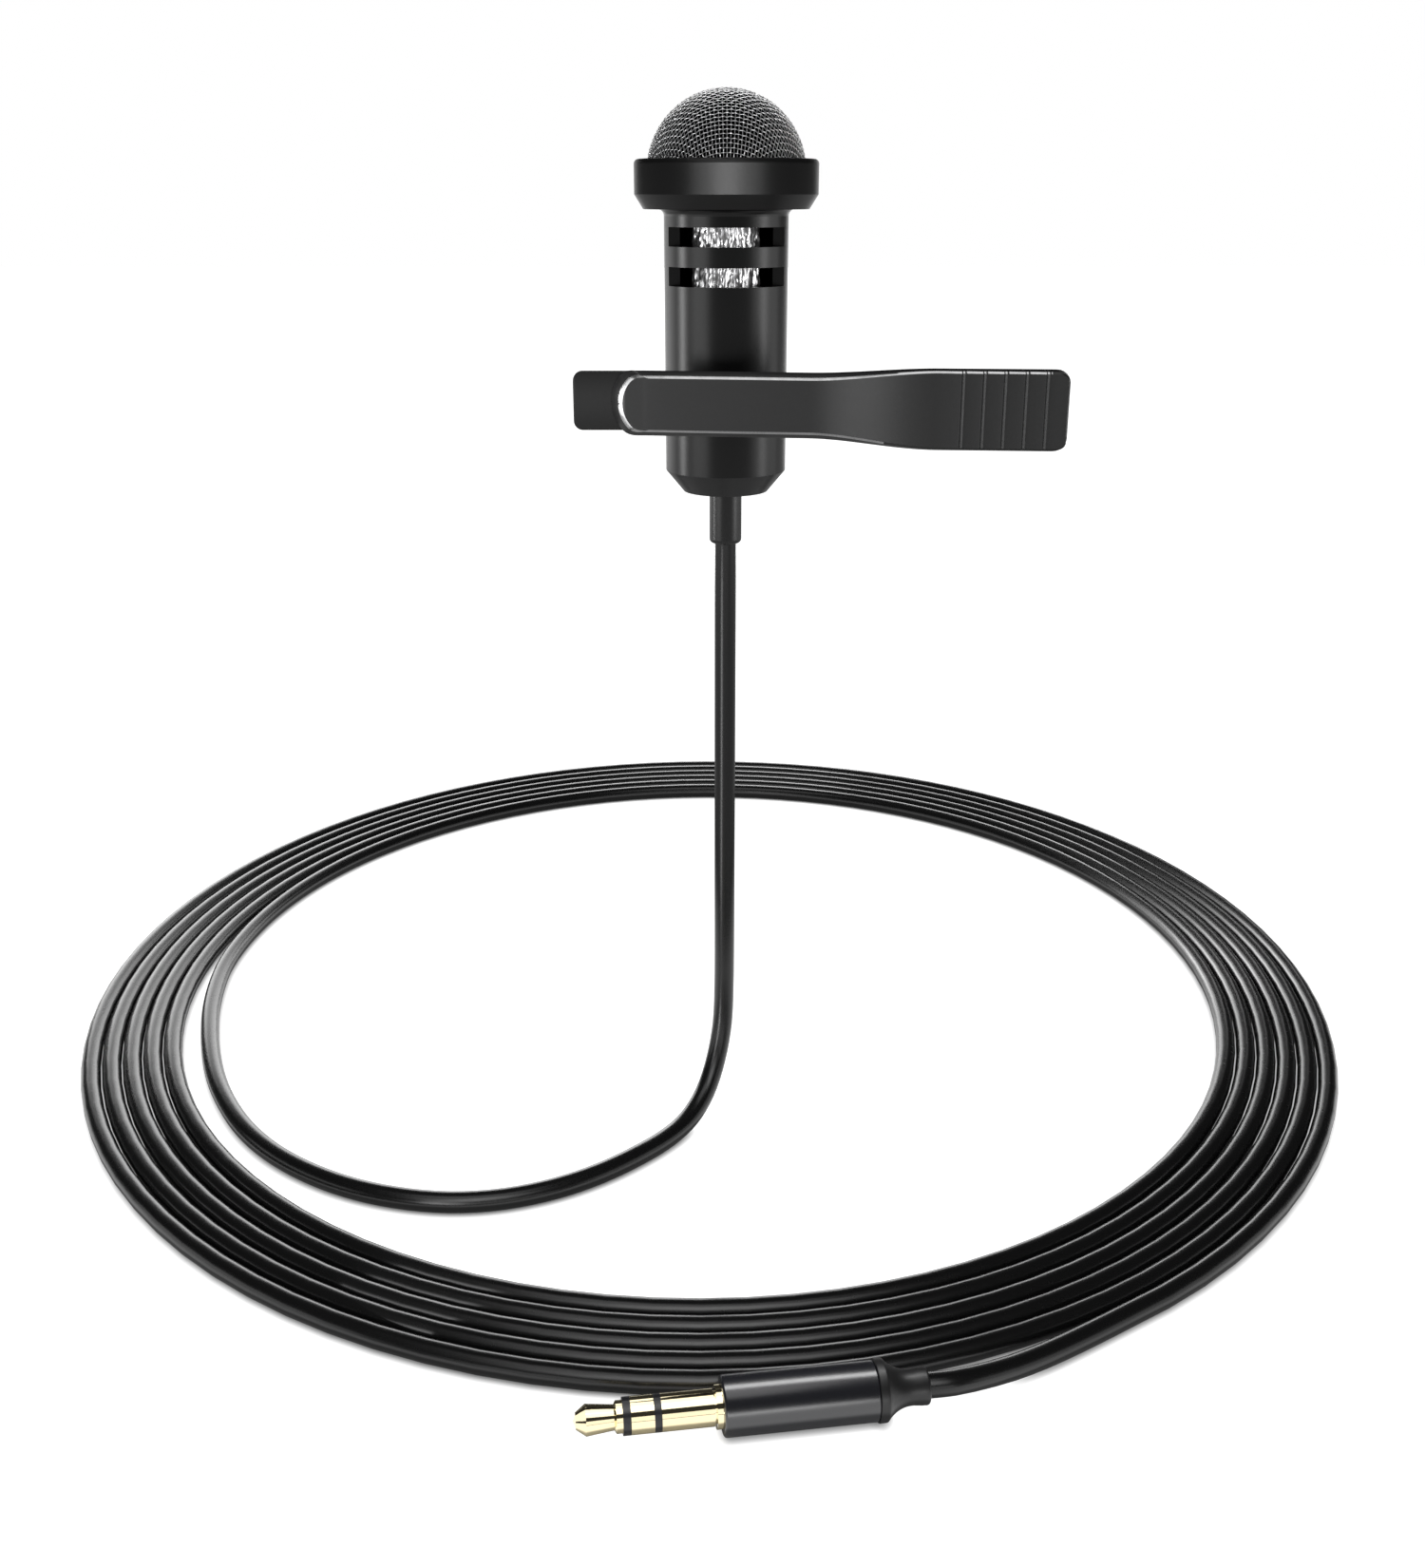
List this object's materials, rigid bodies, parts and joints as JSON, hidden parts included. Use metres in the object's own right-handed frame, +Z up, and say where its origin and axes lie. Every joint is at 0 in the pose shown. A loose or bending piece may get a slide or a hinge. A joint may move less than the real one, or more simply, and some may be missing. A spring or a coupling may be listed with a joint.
{
  "type": "lavalier microphone",
  "caption": "Clip-on lavalier microphone with a woven mesh dome, side slots, a sprung garment clip and a coiled cable ending in a straight 3.5 mm plug.",
  "frame": {"origin": "where the clip's jaws meet, midway up their width", "axes": "+X along the clip towards its thumb pads, +Y from the clip towards the microphone's barrel, +Z up along the barrel towards the mesh dome"},
  "size_m": [0.1763, 0.1966, 0.122],
  "materials": {
    "barrel_black": "satin",
    "clip_black": "satin",
    "mesh_steel": "woven wire",
    "foam_black": "open-cell foam",
    "cup_black": "matte",
    "capsule_aluminium": "satin",
    "screen_foil": "crumpled foil",
    "board_green": "solder mask",
    "lead_red": "gloss",
    "lead_white": "gloss",
    "ferrule_brass": "bright",
    "cable_black": "satin jacket",
    "relief_black": "satin",
    "spring_steel": "drawn wire",
    "pin_steel": "bright",
    "plug_gold": "polished gold plate",
    "insulator_black": "gloss",
    "shell_black": "gloss",
    "core_white": "moulded",
    "boot_black": "satin"
  },
  "bodies": {
    "root": {"rear_lever": "clip_black", "pivot_pin": "pin_steel", "torsion_spring": "spring_steel", "mic_ring": "clip_black", "ring_rivet": "pin_steel", "cord_drop": "cable_black", "cord_loop": "cable_black", "cord_coil": "cable_black", "cord_tail": "cable_black", "plug_tip": "plug_gold", "tip_insulator": "insulator_black", "plug_ring": "plug_gold", "ring_insulator": "insulator_black", "plug_sleeve": "plug_gold", "plug_core": "core_white", "plug_shell": "shell_black", "plug_boot": "boot_black"},
    "front_lever": {"front_lever": "clip_black"},
    "cable_end": {"strain_relief": "relief_black", "cable_ferrule": "ferrule_brass", "cable_stub": "cable_black"},
    "microphone": {"head_mesh": "mesh_steel", "head_foam": "foam_black", "head_collar": "barrel_black", "capsule_cup": "cup_black", "electret_capsule": "capsule_aluminium", "mic_barrel": "barrel_black", "slot_screen": "screen_foil", "circuit_board": "board_green", "signal_lead": "lead_red", "ground_lead": "lead_white"}
  },
  "joints": [
    {"name": "jaw_hinge", "type": "hinge", "parent": "root", "child": "front_lever", "pos_m": [0.0343, -0.005, 0], "axis": [0, 0, 1], "range_deg": [0, 24], "stiffness_Nm_per_rad": 0.05, "springref_deg": -57.3, "deforming": ["torsion_spring"]},
    {"name": "mic_slide", "type": "slide", "parent": "root", "child": "cable_end", "axis": [0, 0, 1], "range_m": [-0.016, 0.004], "deforming": ["cord_drop"]},
    {"name": "mic_swivel", "type": "hinge", "parent": "cable_end", "child": "microphone", "pos_m": [0.01085, 0.00945, 0], "axis": [0, 0, 1], "range_deg": [-180, 180]}
  ]
}
